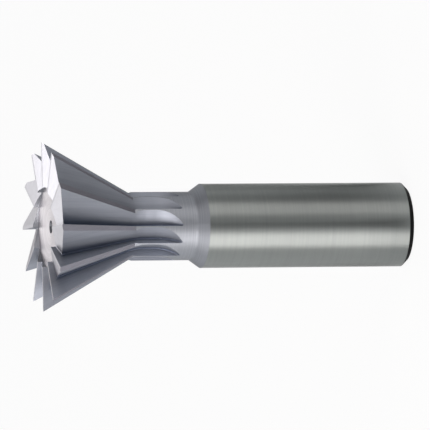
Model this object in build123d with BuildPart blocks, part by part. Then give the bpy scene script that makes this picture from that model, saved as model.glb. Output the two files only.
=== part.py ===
"""Dovetail angle cutter: twelve straight teeth on a 60 degree cone, a slim neck and a plain shank.

The tool stands on the end of its shank. The origin is the centre of that end face, +Z runs
along the tool's axis to the cutting face, and one tooth's rake face lies along the X axis.
Seen from the cutting face the rake faces look anticlockwise, which is a right-hand cutter.
"""

import os
from math import acos, cos, degrees, radians, sin, tan

from build123d import *

# Lengths along the axis, in millimetres
overall_length = 71.0
face_to_shoulder = 28.6
undercut_length = 0.5
shank_chamfer = 0.9

# Diameters
cutting_diameter = 32.0
neck_diameter = 13.0
shank_diameter = 16.0
undercut_depth = 0.16
shoulder_root_radius = 0.8
recess_diameter = 15.2
recess_depth = 1.1

# Angles of the blank, in degrees
dovetail_angle = 60.0
shoulder_angle = 35.0
recess_dish_angle = 5.0

# Teeth, and the flutes ground between them
tooth_count = 12
rake_offset = 0.3
flute_angle = 68.0
flute_slope = 21.5
flute_root_radius = 0.25
flute_depth_at_rim = 4.55
flute_depth_in_neck = 1.87
face_to_run_out = 20.8
wheel_radius = 8.4

# Relief behind the cutting edges
side_relief_angle = 8.0
side_relief_width = 2.4
end_relief_angle = 5.0
end_land = 0.55
end_clearance_angle = 16.0
gash_root_radius = 0.3

# Centre holes
face_hole_diameter = 2.5
face_hole_depth = 4.0
shank_hole_diameter = 3.15
shank_hole_depth = 4.0
shank_hole_mouth = 6.7
centre_angle = 60.0

# How far a cut reaches past the metal
clear = 1.0

# Worked out from the sizes above
cutting_radius = cutting_diameter / 2
neck_radius = neck_diameter / 2
shank_radius = shank_diameter / 2
recess_radius = recess_diameter / 2
undercut_radius = neck_radius - undercut_depth
side_lean = radians(90 - dovetail_angle)
head_length = (cutting_radius - undercut_radius) / tan(side_lean)
head_bottom = overall_length - head_length
shoulder_top = overall_length - face_to_shoulder
shoulder_length = (shank_radius - neck_radius) / tan(radians(shoulder_angle))
pitch_angle = 360 / tooth_count
pitch = radians(pitch_angle)

# The turned blank, from half of its section, with the lathe tool's radius at the shoulder's root
with BuildPart() as blank:
    with BuildSketch(Plane.XZ) as half_section:
        with BuildLine():
            Polyline(
                (0, 0),
                (shank_radius, 0),
                (shank_radius, shoulder_top - shoulder_length),
                (neck_radius, shoulder_top),
                (neck_radius, head_bottom - undercut_length),
                (undercut_radius, head_bottom),
                (cutting_radius, overall_length),
                (0, overall_length),
                close=True,
            )
        make_face()
        shoulder_root = half_section.vertices().sort_by_distance((neck_radius, shoulder_top, 0))[0]
        fillet(shoulder_root, shoulder_root_radius)
    revolve(axis=Axis.Z)
    shank_rim = blank.edges().filter_by(GeomType.CIRCLE).sort_by(Axis.Z)[0]
    chamfer(shank_rim, shank_chamfer)

# The flute's section: a rake side, a rounded root, and the slanting back of the next tooth
section_width = cutting_radius * sin(pitch)
section_height = flute_depth_at_rim + 2 * clear
back_rise = section_width / tan(radians(flute_angle))
with BuildSketch() as flute_section:
    with BuildLine():
        FilletPolyline(
            (0, section_height),
            (0, 0),
            (section_width, back_rise),
            radius=flute_root_radius,
        )
        Polyline((section_width, back_rise), (section_width, section_height), (0, section_height))
    make_face()

# The path of the flute's root: down the head, round a bend, along the neck, and out of it
slope = radians(flute_slope)
rim_root = cutting_radius - flute_depth_at_rim
neck_root = neck_radius - flute_depth_in_neck
bend_reach = wheel_radius * tan(slope / 2)
corner_z = overall_length - (rim_root - neck_root) / tan(slope)
run_out_z = overall_length - face_to_run_out
run_out_angle = degrees(acos(1 - (flute_depth_in_neck + clear / 2) / wheel_radius))
lead_in = (section_height + clear) * sin(slope)
down_head = Vector(-sin(slope), 0, -cos(slope))
down_neck = Vector(0, 0, -1)
corner = Vector(neck_root, -rake_offset, corner_z)
bend_start = corner - down_head * bend_reach
bend_end = corner + down_neck * bend_reach
run_out_start = Vector(neck_root, -rake_offset, run_out_z)
head_start = bend_start - down_head * ((overall_length + lead_in - bend_start.Z) / cos(slope))
bend_centre = bend_end + Vector(wheel_radius, 0, 0)
run_out_centre = run_out_start + Vector(wheel_radius, 0, 0)


def section_plane(place, direction):
    """The plane square to the root's path, with its own y axis pointing out of the tool."""
    return Plane(origin=place, x_dir=(0, 1, 0), z_dir=direction)


with BuildPart() as flute:
    with BuildSketch(section_plane(head_start, down_head)):
        add(flute_section.sketch)
    extrude(amount=(bend_start - head_start).length)
    with BuildSketch(section_plane(bend_start, down_head)):
        add(flute_section.sketch)
    revolve(axis=Axis(bend_centre, (0, -1, 0)), revolution_arc=flute_slope)
    with BuildSketch(section_plane(bend_end, down_neck)):
        add(flute_section.sketch)
    extrude(amount=(run_out_start - bend_end).length)
    with BuildSketch(section_plane(run_out_start, down_neck)):
        add(flute_section.sketch)
    revolve(axis=Axis(run_out_centre, (0, -1, 0)), revolution_arc=run_out_angle)

# The relief behind the cutting edge down the side of a tooth
down_side = Vector(-sin(side_lean), 0, -cos(side_lean))
edge_start = Vector(cutting_radius, -rake_offset, overall_length) - down_side * clear
relief_drop = side_relief_width * tan(radians(side_relief_angle))
with BuildPart() as side_relief:
    with BuildSketch(section_plane(edge_start, down_side)):
        with BuildLine():
            Polyline(
                (0, 0),
                (-side_relief_width, -relief_drop),
                (-side_relief_width, clear),
                (0, clear),
                close=True,
            )
        make_face()
    extrude(amount=clear + head_length / cos(side_lean))

# The gash between two end teeth: a narrow land, then a slope down to the next rake face
land_drop = end_land * tan(radians(end_relief_angle))
gash_width = (cutting_radius + clear) * sin(pitch)
gash_drop = land_drop + (gash_width - end_land) * tan(radians(end_clearance_angle))
next_rake = Plane(
    origin=Vector(0, -rake_offset, 0).rotate(Axis.Z, -pitch_angle),
    z_dir=Vector(0, 1, 0).rotate(Axis.Z, -pitch_angle),
)
gash_start = Vector(recess_radius / 2, -rake_offset, overall_length)
with BuildPart() as end_gash:
    with BuildSketch(Plane(origin=gash_start, x_dir=(0, 1, 0), z_dir=(1, 0, 0))):
        with BuildLine():
            Polyline(
                (0, 0),
                (-end_land, -land_drop),
                (-gash_width, -gash_drop),
                (-gash_width, clear),
                (0, clear),
                close=True,
            )
        make_face()
    extrude(amount=cutting_radius + clear - gash_start.X)
    split(bisect_by=next_rake, keep=Keep.TOP)
    rake_side = end_gash.faces().filter_by(next_rake)[0]
    gash_root = rake_side.edges().sort_by(Axis.Z)[0]
    fillet(gash_root, gash_root_radius)

# The recess in the cutting face: a short wall, and a floor that dips toward the centre hole
recess_floor = overall_length - recess_depth
recess_dip = recess_radius * tan(radians(recess_dish_angle))
with BuildPart() as face_recess:
    with BuildSketch(Plane.XZ):
        with BuildLine():
            Polyline(
                (0, overall_length + clear),
                (recess_radius, overall_length + clear),
                (recess_radius, recess_floor),
                (0, recess_floor - recess_dip),
                close=True,
            )
        make_face()
    revolve(axis=Axis.Z)

with BuildPart() as angle_cutter:
    add(blank.part)
    with PolarLocations(0, tooth_count):
        add(flute.part, mode=Mode.SUBTRACT)
    with PolarLocations(0, tooth_count):
        add(end_gash.part, mode=Mode.SUBTRACT)
    with PolarLocations(0, tooth_count):
        add(side_relief.part, mode=Mode.SUBTRACT)
    add(face_recess.part, mode=Mode.SUBTRACT)
    with Locations((0, 0, recess_floor - recess_dip)):
        Hole(radius=face_hole_diameter / 2, depth=face_hole_depth)
    with Locations(Location((0, 0, 0), (180, 0, 0))):
        CounterSinkHole(
            radius=shank_hole_diameter / 2,
            counter_sink_radius=shank_hole_mouth / 2,
            counter_sink_angle=centre_angle,
            depth=shank_hole_depth,
        )

os.makedirs("parts", exist_ok=True)
angle_cutter.part.label = "angle_cutter"
export_step(angle_cutter.part, "parts/angle_cutter.step")
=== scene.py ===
# %% [markdown]
# # An angle milling cutter in ground tool steel
# The real tool is one bar of hardened steel: a shank for the chuck, a slim neck, and a head with
# twelve teeth on a dovetail cone. Its shape comes whole from the construction model, down to the
# cutting edges, so this lesson is about looks: a camera, a plain studio, and the finish that each
# machine left on its own part of the bar. A lathe turned the neck, a wheel ran along the flutes,
# and another went round the shank. The model is loaded first, and its box gives the tool's length.

# %% Load the tool
from math import cos, hypot, pi, radians, sin, tan

import bpy
from mathutils import Matrix, Vector


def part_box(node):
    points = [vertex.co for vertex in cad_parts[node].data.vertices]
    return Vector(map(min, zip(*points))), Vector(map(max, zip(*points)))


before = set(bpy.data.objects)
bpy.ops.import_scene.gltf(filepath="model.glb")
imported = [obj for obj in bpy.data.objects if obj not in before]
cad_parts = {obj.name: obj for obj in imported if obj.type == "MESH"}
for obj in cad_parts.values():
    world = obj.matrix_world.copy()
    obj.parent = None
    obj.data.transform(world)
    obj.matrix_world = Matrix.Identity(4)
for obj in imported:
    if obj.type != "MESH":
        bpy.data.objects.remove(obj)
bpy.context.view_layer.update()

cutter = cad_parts["angle_cutter"]
bpy.ops.object.select_all(action="DESELECT")

# %% [markdown]
# Blender measures in metres, and a tool is drawn in millimetres, so one value turns one into the
# other. The overall length is read from the model's box. The other sizes are those of the
# construction model, and here they only say where one finish ends and the next begins.

# %% Sizes of the tool
mm = 0.001
micron = 0.001 * mm
overall_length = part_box("angle_cutter")[1].z
cutting_radius = 16.0 * mm
shank_radius = 8.0 * mm
neck_radius = 6.5 * mm
recess_radius = 7.6 * mm
recess_zone = 6.0 * mm
undercut_depth = 0.16 * mm
shank_chamfer = 0.9 * mm
shank_hole_reach = 4.0 * mm
shank_hole_zone = 8.0 * mm
face_to_shoulder = 28.6 * mm
dovetail_lean = radians(30)
shoulder_lean = radians(35)
tooth_count = 12
pitch = 2 * pi / tooth_count
rake_offset = 0.3 * mm
flute_slope = radians(21.5)
flute_depth_at_rim = 4.55 * mm
flute_depth_in_neck = 1.87 * mm
face_to_run_out = 20.8 * mm
wheel_radius = 8.4 * mm
side_relief = radians(8)

shoulder_top = overall_length - face_to_shoulder
shank_top = shoulder_top - (shank_radius - neck_radius) / tan(shoulder_lean)
undercut_radius = neck_radius - undercut_depth
head_bottom = overall_length - (cutting_radius - undercut_radius) / tan(dovetail_lean)
print("overall length mm", round(overall_length / mm, 2))
print("shank ends at mm", round(shank_top / mm, 2), "head begins at mm", round(head_bottom / mm, 2))

# %% [markdown]
# The Standard view transform shows a colour as it is written, which suits a catalogue picture
# on white. The other view settings stay as they are.

# %% Colour management
scene = bpy.context.scene
scene.view_settings.view_transform = "Standard"

# %% [markdown]
# The picture shows the tool lying across the frame, its teeth on the left. In the model the tool
# stands on its shank, so the camera is rolled by a quarter turn instead. It stands far off with
# a long lens, because the two ends of the tool hardly differ in scale, and a little above the
# cutting face, so that the face shows as a slim ellipse. Its place comes from an aim point near
# the tool's middle, an azimuth, an elevation and a distance.

# %% Camera
photo_pixels = 430
sensor_width = 36.0
pixels_per_mm = 5.2672
camera_distance = 1800 * mm
camera_elevation = radians(14.68)
camera_azimuth = radians(-2.89)
camera_roll = radians(-90.4)
aim_side = 2.04 * mm
aim_below_face = 33.74 * mm


def toward(azimuth, elevation):
    """The unit vector that points this way from the tool. Angles are in radians."""
    return Vector((
        cos(elevation) * cos(azimuth),
        cos(elevation) * sin(azimuth),
        sin(elevation),
    ))


to_camera = toward(camera_azimuth, camera_elevation)
aim = Vector((-sin(camera_azimuth), cos(camera_azimuth), 0)) * aim_side
aim.z = overall_length - aim_below_face

bpy.ops.object.camera_add(location=aim + to_camera * camera_distance)
camera = bpy.context.object
camera.name = "camera"
level = to_camera.to_track_quat("Z", "Y")
camera.rotation_mode = "QUATERNION"
camera.rotation_quaternion = level @ Matrix.Rotation(camera_roll, 3, "Z").to_quaternion()
camera.data.sensor_width = sensor_width
camera.data.lens = pixels_per_mm * camera_distance / mm / photo_pixels * sensor_width
scene.camera = camera
print("lens mm", round(camera.data.lens), "camera at", [round(x, 3) for x in camera.location])

# %% [markdown]
# Every material here is a small tree of nodes, and a few helpers keep the cells short. One makes
# an empty material. One adds a node and feeds its inputs, each with a plain value or with another
# node's output. The last two add a Math node, and a Map Range node that rises from 0 to 1.

# %% Helpers for nodes


def new_material(name):
    """A material with nothing but its output node: the material, its tree and that node."""
    material = bpy.data.materials.new(name)
    material.use_nodes = True
    tree = material.node_tree
    tree.nodes.clear()
    return material, tree, tree.nodes.new("ShaderNodeOutputMaterial")


def feed(tree, socket, term):
    """Link this input to another node's output, or set it to a plain value."""
    if isinstance(term, bpy.types.NodeSocket):
        tree.links.new(term, socket)
    else:
        socket.default_value = term


def add_node(tree, kind, inputs=None, operation=None, group=None):
    """A node of this kind with its inputs fed. A group node holds the given group."""
    node = tree.nodes.new(kind)
    if operation:
        node.operation = operation
    if group:
        node.node_tree = group
    for name, term in (inputs or {}).items():
        feed(tree, node.inputs[name], term)
    return node


def maths(tree, operation, *terms):
    """The output of a Math node with these terms."""
    return add_node(tree, "ShaderNodeMath", dict(enumerate(terms)), operation).outputs[0]


def rising(tree, value, low, high, bottom=0.0, kind="LINEAR"):
    """From bottom, where the value is at low, up to 1, where it is at high."""
    inputs = {"Value": value, "From Min": low, "From Max": high, "To Min": bottom}
    node = add_node(tree, "ShaderNodeMapRange", inputs)
    node.interpolation_type = kind
    return node.outputs["Result"]


# %% [markdown]
# The floor is a plain white sheet, with a second sheet standing far behind the tool. A low rim of
# the same paper goes all round, so that a camera down at the tool's own level sees white behind
# it too. Camera, glossy and transmission rays see most of the paper as an even white, so the
# background is white and the steel mirrors the same white. The rest is ordinary matt white, which
# keeps the soft shadow round the tool's foot.

# %% Floor and backdrop
paper_glow = 0.92
paper_white = (0.9, 0.9, 0.9, 1)
floor_size = 8.0
backdrop_width = 5.0
backdrop_height = 2.4
backdrop_distance = 2.6
rim_distance = 2.1
rim_height = 0.16
rim_sides = 96
upright = radians(90)

white_paper, tree, output = new_material("white_paper")
rays = tree.nodes.new("ShaderNodeLightPath")
seen = maths(tree, "MAXIMUM", rays.outputs["Is Camera Ray"], rays.outputs["Is Glossy Ray"])
seen = maths(tree, "MAXIMUM", seen, rays.outputs["Is Transmission Ray"])
share = maths(tree, "MULTIPLY", seen, paper_glow)
matt = add_node(tree, "ShaderNodeBsdfDiffuse", {"Color": paper_white})
glow = add_node(tree, "ShaderNodeEmission", {"Strength": 1.0})
both = {"Fac": share, 1: matt.outputs[0], 2: glow.outputs[0]}
paper = add_node(tree, "ShaderNodeMixShader", both)
tree.links.new(paper.outputs[0], output.inputs["Surface"])


def paper_sheet(name, width, height, location, rotation):
    """A flat sheet of the white paper, staged so that it isn't part of the object."""
    bpy.ops.mesh.primitive_plane_add(size=1, location=location, rotation=rotation)
    sheet = bpy.context.object
    sheet.name = name
    sheet.scale = (width, height, 1)
    sheet.data.materials.append(white_paper)
    sheet.select_set(False)
    print(name, "metres", width, height)


paper_sheet("floor", floor_size, floor_size, (0, 0, 0), (0, 0, 0))
behind = toward(camera_azimuth + pi, 0) * backdrop_distance
behind.z = backdrop_height / 2
paper_sheet("backdrop", backdrop_height, backdrop_width, behind, (0, upright, camera_azimuth))

bpy.ops.mesh.primitive_cylinder_add(
    vertices=rim_sides,
    radius=rim_distance,
    depth=rim_height,
    end_fill_type="NOTHING",
    location=(0, 0, rim_height / 2),
)
rim = bpy.context.object
rim.name = "paper_rim"
rim.data.materials.append(white_paper)
rim.select_set(False)
print("paper_rim metres", rim_distance, rim_height)

# %% [markdown]
# Bright steel shows what stands round it more than it shows light and shade, so the lamps are
# soft boxes, large enough to be seen in the steel as stripes. A low one on each side of the
# camera gives the shank its two bright stripes. Two weaker ones stand further round, for the
# faces that turn toward the outline. One high up behind the tool lights the cutting face, which
# faces none of the others, and a large dim one overhead fills the rest. Each is placed by the
# direction it shines from, counted from the camera's own azimuth, and set by how bright it looks.
# Its watts follow from its size. The lamps are set to light at a plain level, where a colour
# renders about as it is written.

# %% Soft boxes
tool_middle = Vector((0, 0, overall_length / 2))
white = (1, 1, 1)
warm_white = (1, 0.95, 0.92)


def soft_box(name, azimuth, elevation, distance, width, height, brightness, colour):
    """A rectangular lamp aimed at the tool's middle. Angles are in degrees."""
    direction = toward(camera_azimuth + radians(azimuth), radians(elevation))
    bpy.ops.object.light_add(type="AREA", location=tool_middle + direction * distance)
    lamp = bpy.context.object
    lamp.name = name
    lamp.rotation_mode = "QUATERNION"
    lamp.rotation_quaternion = direction.to_track_quat("Z", "Y")
    lamp.data.shape = "RECTANGLE"
    lamp.data.size = width
    lamp.data.size_y = height
    lamp.data.energy = brightness * pi * width * height
    lamp.data.color = colour
    lamp.select_set(False)
    print(name, "watts", round(lamp.data.energy, 2))


# Name, azimuth, elevation, distance, width, height, brightness, colour
soft_box("key_light", -41, 14, 0.60, 0.43, 0.30, 7.2, warm_white)
soft_box("fill_light", 46, 13, 0.70, 0.44, 0.30, 3.25, warm_white)
soft_box("wing_light", -102, 16, 0.90, 0.90, 0.44, 0.8, white)
soft_box("rear_wing_light", 116, 8, 0.90, 0.80, 0.22, 0.7, white)
soft_box("back_light", 180, 52, 0.90, 1.00, 0.36, 2.3, white)
soft_box("overhead_light", -35, 66, 1.10, 2.20, 1.40, 0.50, white)

# %% [markdown]
# With white paper all round, a steel cylinder would look flat. Photographers lay cards just
# outside the picture, where the steel mirrors them as the darker stripes that make it look round.
# The camera looks a little down on an upright tool, so the shank mirrors the floor, and each card
# is a slice of a ring on the floor. A black one in front gives the shank its dark stripe. A dark
# and a pale one to the sides shade the flutes, and more so on the side away from the key light. A
# grey one further back keeps the shank's outline from going white. The last rises behind the tool
# like a low wall, which the far teeth mirror. They are hidden from the camera itself and throw no
# shadow, so they only show in the steel.

# %% Cards
card_lift = 0.2 * mm
card_steps = 12


def card(name, middle, half_angle, near_edge, far_edge, grey, height=card_lift):
    """A card curved about the tool's axis, on the floor or rising to height at its far edge."""
    material, tree, output = new_material(name)
    felt = add_node(tree, "ShaderNodeBsdfDiffuse", {"Color": (grey, grey, grey, 1)})
    tree.links.new(felt.outputs[0], output.inputs["Surface"])
    bpy.ops.mesh.primitive_grid_add(x_subdivisions=1, y_subdivisions=card_steps, size=1)
    sheet = bpy.context.object
    sheet.name = name
    for corner in sheet.data.vertices:
        reach = far_edge if corner.co.x > 0 else near_edge
        lift = height if corner.co.x > 0 else card_lift
        turn = radians(middle + 2 * half_angle * corner.co.y)
        corner.co = toward(camera_azimuth + turn, 0) * reach
        corner.co.z = lift
    sheet.data.materials.append(material)
    sheet.visible_camera = False
    sheet.visible_diffuse = False
    sheet.visible_shadow = False
    sheet.select_set(False)
    print(name, "reaches mm", round(far_edge / mm))


# Name, middle and half of its angle in degrees, near edge, far edge, grey, height
card("black_card", 3, 10, 12 * mm, 330 * mm, 0.05)
card("dark_card", 78, 60, 20 * mm, 95 * mm, 0.14)
card("pale_card", -87, 68, 20 * mm, 95 * mm, 0.92)
card("rear_card", 132, 20, 96 * mm, 330 * mm, 0.42)
card("horizon_card", 180, 50, 420 * mm, 440 * mm, 0.25, 130 * mm)

# %% [markdown]
# Above the paper and between the lamps the steel sees the room. It is a dim, even grey, which
# leaves the stripes their contrast and keeps the darkest mirror images from going black.

# %% World
world_grey = (0.08, 0.08, 0.084, 1)

world = bpy.data.worlds.new("studio")
world.use_nodes = True
world.node_tree.nodes["Background"].inputs["Color"].default_value = world_grey
scene.world = world
print("world", world.name)

# %% [markdown]
# ## Effects that several finishes share
# Each is a node group, made once and placed in every material that needs it. One helper makes an
# empty group with named sockets. The other measures how far a point lies from the tool's axis,
# which everything that was turned or ground round the tool has to know.

# %% Helpers for groups


def new_group(name, inputs, outputs):
    """A node group: its tree, its input node and its output node."""
    group = bpy.data.node_groups.new(name, "ShaderNodeTree")
    for socket_name, kind in inputs.items():
        group.interface.new_socket(socket_name, in_out="INPUT", socket_type="NodeSocket" + kind)
    for socket_name, kind in outputs.items():
        group.interface.new_socket(socket_name, in_out="OUTPUT", socket_type="NodeSocket" + kind)
    return group, group.nodes.new("NodeGroupInput"), group.nodes.new("NodeGroupOutput")


def place_in_tool(tree, vector):
    """The X, Y and Z of a point, and its distance from the tool's axis."""
    place = add_node(tree, "ShaderNodeSeparateXYZ", {0: vector}).outputs
    squares = maths(tree, "MULTIPLY", place["Y"], place["Y"])
    squares = maths(tree, "MULTIPLY_ADD", place["X"], place["X"], squares)
    return place, maths(tree, "SQRT", squares)


# %% [markdown]
# A grinding wheel runs along a flute, so its scratches do too: down the head, round a bend and
# along the neck, in twelve directions round the tool. Rather than painting twelve patterns, this
# group folds the twelve flutes into one. It wraps the angle round the axis into one tooth's
# share, which tells how far across the flute a point lies from the rake plane, and how far
# outward. The rake planes pass a little beside the axis, hence the lead angle. The wrap has a
# small margin, because a rake face would otherwise lie right on the border of two shares.

# %% Group: flute path, with twelve flutes folded into one
wrap_margin = radians(0.2)

flute_path, start, end = new_group(
    "flute_path",
    {"Vector": "Vector"},
    {"Vector": "Vector", "Shade": "Color"},
)
place, radius = place_in_tool(flute_path, start.outputs["Vector"])
lead = maths(flute_path, "ARCSINE", maths(flute_path, "DIVIDE", rake_offset, radius))
angle = maths(flute_path, "ARCTAN2", place["Y"], place["X"])
angle = maths(flute_path, "ADD", angle, lead)
angle = maths(flute_path, "WRAP", angle, pitch - wrap_margin, -wrap_margin)
angle = maths(flute_path, "SUBTRACT", angle, lead)
across = maths(flute_path, "MULTIPLY", radius, maths(flute_path, "SINE", angle))
across = maths(flute_path, "ADD", across, rake_offset)
outward = maths(flute_path, "MULTIPLY", radius, maths(flute_path, "COSINE", angle))
below_face = maths(flute_path, "SUBTRACT", overall_length, place["Z"])
print("one share is", round(360 / tooth_count), "degrees")

# %% [markdown]
# The root of a flute isn't level. It slopes down the head, turns level round a bend, and leaves
# the neck along the arc of the wheel. The group measures how high a point lies above each of
# these, and takes the lower answer, rounded off at the bend. A scratch keeps the same distance
# across and the same height all along its way, so these two are put out in place of X and Y.

# %% Group: flute path, the height above its root
rim_root = cutting_radius - flute_depth_at_rim
neck_root = neck_radius - flute_depth_in_neck
bend_cut = wheel_radius * (1 / cos(flute_slope / 2) - 1)
bend_softness = 6

past_run_out = maths(flute_path, "SUBTRACT", below_face, face_to_run_out)
past_run_out = maths(flute_path, "MAXIMUM", past_run_out, 0.0)
wheel_rise = maths(flute_path, "MULTIPLY", past_run_out, past_run_out)
wheel_rise = maths(flute_path, "SUBTRACT", wheel_radius**2, wheel_rise)
wheel_rise = maths(flute_path, "SQRT", maths(flute_path, "MAXIMUM", wheel_rise, 0.0))
above_neck_root = maths(flute_path, "ADD", outward, wheel_rise)
above_neck_root = maths(flute_path, "SUBTRACT", above_neck_root, neck_root + wheel_radius)
above_head_root = maths(flute_path, "SUBTRACT", outward, rim_root)
above_head_root = maths(flute_path, "MULTIPLY", above_head_root, cos(flute_slope))
above_head_root = maths(flute_path, "MULTIPLY_ADD", below_face, sin(flute_slope), above_head_root)
bend_blend = bend_softness * bend_cut
above_root = maths(flute_path, "SMOOTH_MIN", above_neck_root, above_head_root, bend_blend)
folded = {"X": across, "Y": above_root, "Z": place["Z"]}
folded = add_node(flute_path, "ShaderNodeCombineXYZ", folded)
flute_path.links.new(folded.outputs[0], end.inputs["Vector"])
print("root at the rim mm", round(rim_root / mm, 2), "in the neck mm", round(neck_root / mm, 2))

# %% [markdown]
# The bottom of a flute is painted darker and bluer than its open sides: painted shade for the
# shadow down in the groove. The painted shade takes a share of the flute's depth, which shrinks
# down the head and again where the flute runs out of the neck. It has a nearly black core along the
# corner itself, which also hides the highlight that the round corner would mirror, and a faint veil
# reaches further up the side. The gashes between the end teeth near the cutting face were ground
# last, and the painted shade is left off there.

# %% Group: flute path, the painted shade at its root
head_painted_shade_share = 0.23
neck_painted_shade_share = 0.17
least_painted_shade_reach = 0.3 * mm
corner_core = 0.15 * mm
corner_reach = 0.42 * mm
core_share = 0.09
veil_reach = 2.7
veil_shade = 0.8
gash_top = 0.8 * mm
gash_bottom = 2.0 * mm
core_colour = (0.22, 0.245, 0.31, 1)
dark_colour = (0.42, 0.47, 0.58, 1)
undarkened_colour = (1, 1, 1, 1)

shallower = (tan(dovetail_lean) - tan(flute_slope)) * head_painted_shade_share
painted_shade_reach = maths(flute_path, "MULTIPLY", below_face, -shallower)
painted_shade_reach = maths(flute_path, "ADD", painted_shade_reach, flute_depth_at_rim * head_painted_shade_share)
neck_reach = maths(flute_path, "ADD", wheel_rise, flute_depth_in_neck - wheel_radius)
neck_reach = maths(flute_path, "MULTIPLY", neck_reach, neck_painted_shade_share)
painted_shade_reach = maths(flute_path, "MAXIMUM", painted_shade_reach, neck_reach)
painted_shade_reach = maths(flute_path, "MAXIMUM", painted_shade_reach, least_painted_shade_reach)
from_root = maths(flute_path, "ABSOLUTE", above_root)
unshaded = rising(flute_path, from_root, 0.0, painted_shade_reach)
# The core paints the corner nearly black, which hides the bright line that the round root would
# mirror.
from_corner = maths(flute_path, "MULTIPLY", above_root, above_root)
from_corner = maths(flute_path, "MULTIPLY_ADD", across, across, from_corner)
from_corner = maths(flute_path, "SQRT", from_corner)
core_edge = maths(flute_path, "MINIMUM", painted_shade_reach, corner_reach)
out_of_corner = rising(flute_path, from_corner, corner_core, core_edge)
unshaded = maths(flute_path, "MULTIPLY", unshaded, out_of_corner)
unshaded = maths(flute_path, "MAXIMUM", unshaded, rising(flute_path, below_face, gash_bottom, gash_top))
# Painted shade: the root of each flute is painted darker and bluer.
shade = add_node(flute_path, "ShaderNodeValToRGB", {"Fac": unshaded})
shade.color_ramp.interpolation = "EASE"
shade.color_ramp.elements[0].color = core_colour
shade.color_ramp.elements[1].color = undarkened_colour
shade.color_ramp.elements.new(core_share).color = dark_colour
# The veil is a fainter painted shade that reaches further up the sides.
veil_edge = maths(flute_path, "MULTIPLY", painted_shade_reach, veil_reach)
veil = rising(flute_path, from_root, 0.0, veil_edge, veil_shade, "SMOOTHSTEP")
veiled = {0: shade.outputs["Color"], "Scale": veil}
veiled = add_node(flute_path, "ShaderNodeVectorMath", veiled, "SCALE")
flute_path.links.new(veiled.outputs[0], end.inputs["Shade"])
print("dark root at the rim mm", round(flute_depth_at_rim * head_painted_shade_share / mm, 2))

# %% [markdown]
# The chamfer at the end of the shank is black, and the black reaches a hair's breadth up the ground
# face. Above it the ground face is painted a little darker over the last few millimetres, as
# painted shade toward the foot. A group says how dark, from the height up the tool alone.

# %% Group: black heel
heel_reach = 0.1 * mm
heel_blend = 0.06 * mm
heel_colour = (0.02, 0.02, 0.022, 1)
foot_shade_top = 10.0 * mm
foot_shade = 0.79

black_heel, start, end = new_group("black_heel", {"Vector": "Vector"}, {"Shade": "Color"})
place = add_node(black_heel, "ShaderNodeSeparateXYZ", {0: start.outputs["Vector"]}).outputs
heel_top = shank_chamfer + heel_reach
above_heel = rising(black_heel, place["Z"], heel_top - heel_blend, heel_top + heel_blend)
shade = add_node(black_heel, "ShaderNodeValToRGB", {"Fac": above_heel})
shade.color_ramp.elements[0].color = heel_colour
shade.color_ramp.elements[1].color = undarkened_colour
# Painted shade: the last few millimetres above the heel are darker toward the foot.
foot_darkening = rising(black_heel, place["Z"], heel_top, foot_shade_top, foot_shade)
foot_darkened = {0: shade.outputs["Color"], "Scale": foot_darkening}
foot_darkened = add_node(black_heel, "ShaderNodeVectorMath", foot_darkened, "SCALE")
black_heel.links.new(foot_darkened.outputs[0], end.inputs["Shade"])
print("heel is black up to mm", round(heel_top / mm, 2))

# %% [markdown]
# Grinding leaves long thin scratches. A noise pattern squeezed hard across them and hardly at
# all along them looks the same. Stretch says how many times a metre the pattern changes along
# each axis. A second, coarser layer adds the few deeper scratches that the eye picks out.

# %% Group: grinding lines
scratch_roughness = 0.6

# Share of the stretch, detail, weight
fine_layer = (1.0, 3.0, 0.55)
deep_layer = (0.22, 1.0, 0.45)
scratch_layers = (fine_layer, deep_layer)

grinding_lines, start, end = new_group(
    "grinding_lines",
    {"Vector": "Vector", "Stretch": "Vector"},
    {"Lines": "Float"},
)
lines = 0.0
for share, detail, weight in scratch_layers:
    stretch = {0: start.outputs["Stretch"], "Scale": share}
    stretch = add_node(grinding_lines, "ShaderNodeVectorMath", stretch, "SCALE")
    squeezed = {0: start.outputs["Vector"], 1: stretch.outputs[0]}
    squeezed = add_node(grinding_lines, "ShaderNodeVectorMath", squeezed, "MULTIPLY")
    noise = {
        "Vector": squeezed.outputs[0],
        "Scale": 1.0,
        "Detail": detail,
        "Roughness": scratch_roughness,
    }
    noise = add_node(grinding_lines, "ShaderNodeTexNoise", noise)
    lines = maths(grinding_lines, "MULTIPLY_ADD", noise.outputs["Fac"], weight, lines)
grinding_lines.links.new(lines, end.inputs["Lines"])
print("grinding lines in", len(scratch_layers), "layers")

# %% [markdown]
# A lathe leaves rings: one groove for each turn of the work, as far apart as the tool moved in
# that turn, and never quite even. The group counts up the tool's axis and half as fast inwards,
# so the same rings run up the shoulder, along the neck and across a flat floor.

# %% Group: turned rings
inward_share = 0.5
groove_weight = 0.12
uneven_scale = 0.7
uneven_detail = 4.0
uneven_roughness = 0.7

turned_rings, start, end = new_group(
    "turned_rings",
    {"Vector": "Vector", "Rings per metre": "Float"},
    {"Lines": "Float"},
)
place, radius = place_in_tool(turned_rings, start.outputs["Vector"])
travel = maths(turned_rings, "MULTIPLY_ADD", radius, -inward_share, place["Z"])
count = maths(turned_rings, "MULTIPLY", travel, start.outputs["Rings per metre"])
groove = maths(turned_rings, "SINE", maths(turned_rings, "MULTIPLY", count, 2 * pi))
uneven = {"Scale": uneven_scale, "Detail": uneven_detail, "Roughness": uneven_roughness}
uneven = add_node(turned_rings, "ShaderNodeTexNoise", uneven)
uneven.noise_dimensions = "1D"
turned_rings.links.new(count, uneven.inputs["W"])
rings = maths(turned_rings, "MULTIPLY_ADD", groove, groove_weight, uneven.outputs["Fac"])
turned_rings.links.new(rings, end.inputs["Lines"])
print("rings run inwards at a share of", inward_share)

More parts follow.
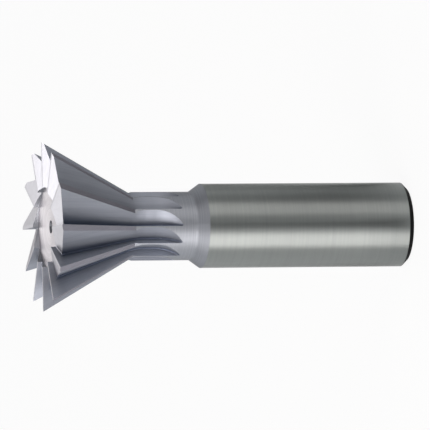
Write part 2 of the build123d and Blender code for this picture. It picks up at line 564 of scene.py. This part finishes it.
# %% [markdown]
# The last group gives the steel its tone. The scratches make it a little lighter and darker, and
# a broad soft mottle keeps a wide face from looking like paint. Where the scratches darken it the
# surface is rougher as well, so the same lines go into the roughness.

# %% Group: steel tone
mottle_scale = 170.0
mottle_detail = 3.0
middle_grey = 0.5
rougher_share = 0.25

steel_tone, start, end = new_group(
    "steel_tone",
    {
        "Vector": "Vector",
        "Lines": "Float",
        "Colour": "Color",
        "Contrast": "Float",
        "Mottle": "Float",
        "Roughness": "Float",
        "Shade": "Color",
    },
    {"Colour": "Color", "Roughness": "Float"},
)
blotch = {"Vector": start.outputs["Vector"], "Scale": mottle_scale, "Detail": mottle_detail}
blotch = add_node(steel_tone, "ShaderNodeTexNoise", blotch)
from_lines = maths(steel_tone, "SUBTRACT", start.outputs["Lines"], middle_grey)
from_lines = maths(steel_tone, "MULTIPLY", from_lines, start.outputs["Contrast"])
from_blotch = maths(steel_tone, "SUBTRACT", blotch.outputs["Fac"], middle_grey)
from_blotch = maths(steel_tone, "MULTIPLY", from_blotch, start.outputs["Mottle"])
gain = maths(steel_tone, "ADD", from_lines, from_blotch)
gain = maths(steel_tone, "ADD", gain, 1.0)
toned = {0: start.outputs["Colour"], "Scale": gain}
toned = add_node(steel_tone, "ShaderNodeVectorMath", toned, "SCALE")
toned = {0: toned.outputs[0], 1: start.outputs["Shade"]}
toned = add_node(steel_tone, "ShaderNodeVectorMath", toned, "MULTIPLY")
roughness = start.outputs["Roughness"]
roughness = maths(steel_tone, "MULTIPLY_ADD", from_lines, -rougher_share, roughness)
steel_tone.links.new(toned.outputs[0], end.inputs["Colour"])
steel_tone.links.new(roughness, end.inputs["Roughness"])
print("mottle blotches mm", round(1 / mottle_scale / mm, 1))

# %% [markdown]
# ## The steel
# First the marks that the machines left, each as a small function that lays a group in a
# material. Round the shank and along the flutes they are scratches, squeezed the other way for
# each. On the end faces they run from the rim inwards. On what was turned they are rings.

# %% Functions: the machines' marks
scratches_across = 7000
scratches_along = 160
shank_scratches = 8000
rings_per_metre = 6000


def round_scratches(tree, vector):
    """Scratches round the tool's axis."""
    stretch = (scratches_along, scratches_along, shank_scratches)
    marks = {"Vector": vector, "Stretch": stretch}
    return add_node(tree, "ShaderNodeGroup", marks, group=grinding_lines).outputs["Lines"]


def folded_scratches(tree, vector, stretch):
    """Scratches that are the same in each of the twelve flutes."""
    folded = add_node(tree, "ShaderNodeGroup", {"Vector": vector}, group=flute_path)
    marks = {"Vector": folded.outputs["Vector"], "Stretch": stretch}
    return add_node(tree, "ShaderNodeGroup", marks, group=grinding_lines).outputs["Lines"]


def flute_scratches(tree, vector):
    """Scratches along the flutes."""
    return folded_scratches(tree, vector, (scratches_across, scratches_across, scratches_along))


def end_scratches(tree, vector):
    """Scratches over the end faces, from the rim inwards."""
    return folded_scratches(tree, vector, (scratches_across, scratches_along, scratches_across))


def lathe_rings(tree, vector):
    """Rings round what the lathe turned."""
    marks = {"Vector": vector, "Rings per metre": rings_per_metre}
    return add_node(tree, "ShaderNodeGroup", marks, group=turned_rings).outputs["Lines"]


# %% [markdown]
# One function makes each finish. Scratches that all run one way spread a highlight across them
# and keep it narrow along them, which is what the Anisotropic value does. Its direction is the
# tangent round the axis, given a quarter turn, because the scratches run round the tool and the
# highlight spreads up and down it. Metal turns brighter where the eye skims over it, and a glint
# under 1 holds that back on faces too narrow to show it well.

# %% Function: a steel finish
quarter_turn = 0.25


def steel_finish(
    name, colour, roughness, marks, contrast, mottle, relief, spread=0.0, glint=1.0, darkening_group=None
):
    """A material of bare steel. marks lays the machine's marks, and relief is their depth in
    microns. The last argument is a group that darkens some places of the face, with painted shade
    among them."""
    material, tree, output = new_material(name)
    vector = tree.nodes.new("ShaderNodeTexCoord").outputs["Object"]
    lines = marks(tree, vector)
    shade = undarkened_colour
    if darkening_group:
        shade = add_node(tree, "ShaderNodeGroup", {"Vector": vector}, group=darkening_group).outputs["Shade"]
    tone = {
        "Vector": vector,
        "Lines": lines,
        "Colour": (*colour, 1),
        "Contrast": contrast,
        "Mottle": mottle,
        "Roughness": roughness,
        "Shade": shade,
    }
    tone = add_node(tree, "ShaderNodeGroup", tone, group=steel_tone)
    bump = {"Height": lines, "Strength": 1.0, "Distance": relief * micron}
    bump = add_node(tree, "ShaderNodeBump", bump)
    steel = {
        "Base Color": tone.outputs["Colour"],
        "Metallic": 1.0,
        "Roughness": tone.outputs["Roughness"],
        "Specular Tint": (glint, glint, glint, 1),
        "Anisotropic": spread,
        "Normal": bump.outputs["Normal"],
    }
    steel = add_node(tree, "ShaderNodeBsdfPrincipled", steel)
    if spread:
        round_axis = tree.nodes.new("ShaderNodeTangent")
        round_axis.direction_type = "RADIAL"
        round_axis.axis = "Z"
        steel.inputs["Anisotropic Rotation"].default_value = quarter_turn
        tree.links.new(round_axis.outputs["Tangent"], steel.inputs["Tangent"])
    tree.links.new(steel.outputs["BSDF"], output.inputs["Surface"])
    print(name, "roughness", roughness)
    return material


# %% [markdown]
# The shank is ground round to fit a chuck. It is the smoothest part, yet its fine scratches blur
# what it mirrors along the tool into long straight stripes, so it has the strongest spread.

# %% Ground shank
ground_shank = steel_finish(
    "ground_shank",
    colour=(0.308, 0.328, 0.322),
    roughness=0.449,
    marks=round_scratches,
    contrast=0.3,
    mottle=0.08,
    relief=1.0,
    spread=0.89,
    # The black heel group makes the heel black and paints shade toward the foot.
    darkening_group=black_heel,
)

# %% [markdown]
# The neck and the shoulder are as the lathe left them, duller than the shank, with rings that can
# just be seen. The floor of the recess was turned with a finer feed, and it is painted far lighter
# than the wall beside it, which keeps the neck's darker steel: painted light on the floor, which
# faces up, and painted shade on the wall of the recess.

# %% Turned neck and recess
turned_neck = steel_finish(
    "turned_neck",
    colour=(0.355, 0.372, 0.408),
    roughness=0.57,
    marks=lathe_rings,
    contrast=0.38,
    mottle=0.1,
    relief=2.8,
    spread=0.55,
)
turned_recess = steel_finish(
    "turned_recess",
    # Painted light: a much lighter copy of the turned steel, for the recess floor that faces up.
    colour=(0.70, 0.665, 0.685),
    roughness=0.36,
    marks=lathe_rings,
    contrast=0.3,
    mottle=0.1,
    relief=3.0,
)

# %% [markdown]
# The wheel leaves the flutes satin and a little blue, and they carry painted shade along their
# roots. The narrow lands behind the cutting edges were ground apart from them and are warmer. The
# end faces were ground last and are the brightest steel on the tool.

# %% Ground teeth
ground_flutes = steel_finish(
    "ground_flutes",
    colour=(0.338, 0.358, 0.408),
    roughness=0.58,
    marks=flute_scratches,
    contrast=0.35,
    mottle=0.1,
    relief=2.0,
    # The flute path group paints shade along the roots.
    darkening_group=flute_path,
)
ground_lands = steel_finish(
    "ground_lands",
    colour=(0.33, 0.327, 0.375),
    roughness=0.52,
    marks=flute_scratches,
    contrast=0.3,
    mottle=0.1,
    relief=1.0,
    glint=0.4,
)
ground_end = steel_finish(
    "ground_end",
    colour=(0.575, 0.565, 0.60),
    roughness=0.37,
    marks=end_scratches,
    contrast=0.3,
    mottle=0.1,
    relief=1.0,
)

# %% [markdown]
# The end of the shank and its chamfer are black and matt. The surface isn't metallic, and it hardly
# shines.

# %% Blackened end
end_black = (0.003, 0.003, 0.0035, 1)
end_roughness = 0.6
end_shine = 0.03

blackened_end, tree, output = new_material("blackened_end")
black_surface = {
    "Base Color": end_black,
    "Roughness": end_roughness,
    "Specular IOR Level": end_shine,
}
black_surface = add_node(tree, "ShaderNodeBsdfPrincipled", black_surface)
tree.links.new(black_surface.outputs["BSDF"], output.inputs["Surface"])
print("blackened_end roughness", end_roughness)

# %% [markdown]
# The tool carries all its finishes at once, and each face says by number which one it shows.

# %% Finishes on the tool
finishes = [
    ground_shank,
    turned_neck,
    turned_recess,
    ground_flutes,
    ground_lands,
    ground_end,
    blackened_end,
]
finish_names = [finish.name for finish in finishes]
cutter.data.materials.clear()
for finish in finishes:
    cutter.data.materials.append(finish)
print("finishes", finish_names)

# %% [markdown]
# ## Which machine made which face
# The finishes meet along the edges of the model, so each face gets its finish from where it lies
# and which way it points. A turned face has no slant round the tool, the land behind a cutting edge
# is one plane that repeats tooth by tooth, and what is left in the head was ground by the flute's
# wheel. Giving a face its finish moves no point of the model.

# %% Sort the faces
near = 0.03 * mm
slightest_slant = 0.1
faces_up_in_recess = 0.7
faces_up_at_end = 0.9
same_plane = 0.999
land_normal = Vector((
    cos(side_relief) * cos(dovetail_lean),
    -sin(side_relief),
    -cos(side_relief) * sin(dovetail_lean),
))
land_normals = [
    Matrix.Rotation(tooth * pitch, 3, "Z") @ land_normal
    for tooth in range(tooth_count)
]


def finish_of(face):
    """The finish on this face of the tool."""
    corners = [cutter.data.vertices[i].co for i in face.vertices]
    reach = [hypot(corner.x, corner.y) for corner in corners]
    lowest = min(corner.z for corner in corners)
    highest = max(corner.z for corner in corners)
    outward = Vector((face.center.x, face.center.y, 0)).normalized()
    turned = abs(face.normal.cross(outward).z) < slightest_slant
    in_shank_hole = max(reach) < shank_hole_reach and highest < shank_hole_zone
    in_recess = max(reach) < recess_radius + near and highest > overall_length - recess_zone
    if lowest < shank_chamfer - near or in_shank_hole:
        return blackened_end
    if highest < shank_top + near:
        return ground_shank
    if in_recess:
        # The up-facing floor gets the painted light, and the wall keeps the neck's darker steel as
        # painted shade.
        return turned_recess if face.normal.z > faces_up_in_recess else turned_neck
    if turned and min(reach) > undercut_radius - near and highest < head_bottom + near:
        return turned_neck
    if face.normal.z > faces_up_at_end:
        return ground_end
    flattest = max(face.normal.dot(normal) for normal in land_normals)
    if lowest > head_bottom - near and flattest > same_plane:
        return ground_lands
    return ground_flutes


counts = dict.fromkeys(finish_names, 0)
for face in cutter.data.polygons:
    finish = finish_of(face)
    counts[finish.name] += 1
    face.material_index = finishes.index(finish)
print("faces by finish", counts)
